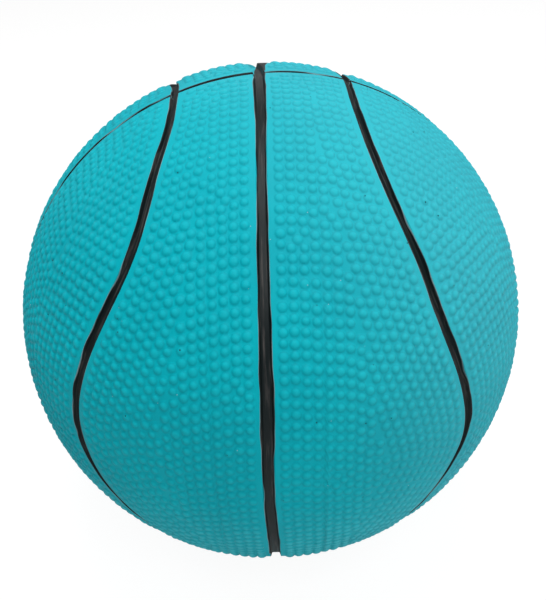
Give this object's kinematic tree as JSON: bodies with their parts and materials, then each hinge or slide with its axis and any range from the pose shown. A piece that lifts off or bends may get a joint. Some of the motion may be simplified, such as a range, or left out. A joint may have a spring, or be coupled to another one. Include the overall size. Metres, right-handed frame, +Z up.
{
  "type": "latex dog ball",
  "caption": "Soft round latex dog ball with a pebbled turquoise skin, black painted basketball-style grooves, fibre stuffing and a reed squeaker in its flat base.",
  "frame": {"origin": "centre of the flat rest pad under the ball, at the bottom of its box", "axes": "+Z up through the two crossings of the great-circle grooves; -Y towards the front seen in the picture; +X to the right through the middle of the right loop"},
  "size_m": [0.15, 0.1498, 0.1489],
  "materials": {
    "latex": "turquoise latex, satin matt, pebbled",
    "black_paint": "brushed satin black latex paint",
    "fibre": "loose white polyester fibre",
    "white_plastic": "moulded white plastic",
    "reed_film": "thin translucent plastic film"
  },
  "bodies": {
    "ball": {"latex_skin": "latex", "fibre_filling": "fibre", "paint_meridian": "black_paint", "paint_loop_left": "black_paint", "paint_loop_right": "black_paint", "paint_cross_top_left": "black_paint", "paint_cross_top_right": "black_paint", "paint_cross_left": "black_paint", "paint_cross_right": "black_paint", "paint_cross_base_left": "black_paint", "paint_cross_base_right": "black_paint", "squeaker_housing": "white_plastic", "squeaker_cap": "white_plastic", "reed_pipe": "white_plastic", "reed_wedge": "white_plastic"},
    "reed": {"squeaker_reed": "reed_film"}
  },
  "joints": [
    {"name": "reed_flex", "type": "hinge", "parent": "ball", "child": "reed", "pos_m": [0, -0.00082, 0.0081], "axis": [1, 0, 0], "range_deg": [-3, 5], "stiffness_Nm_per_rad": 0.005}
  ]
}
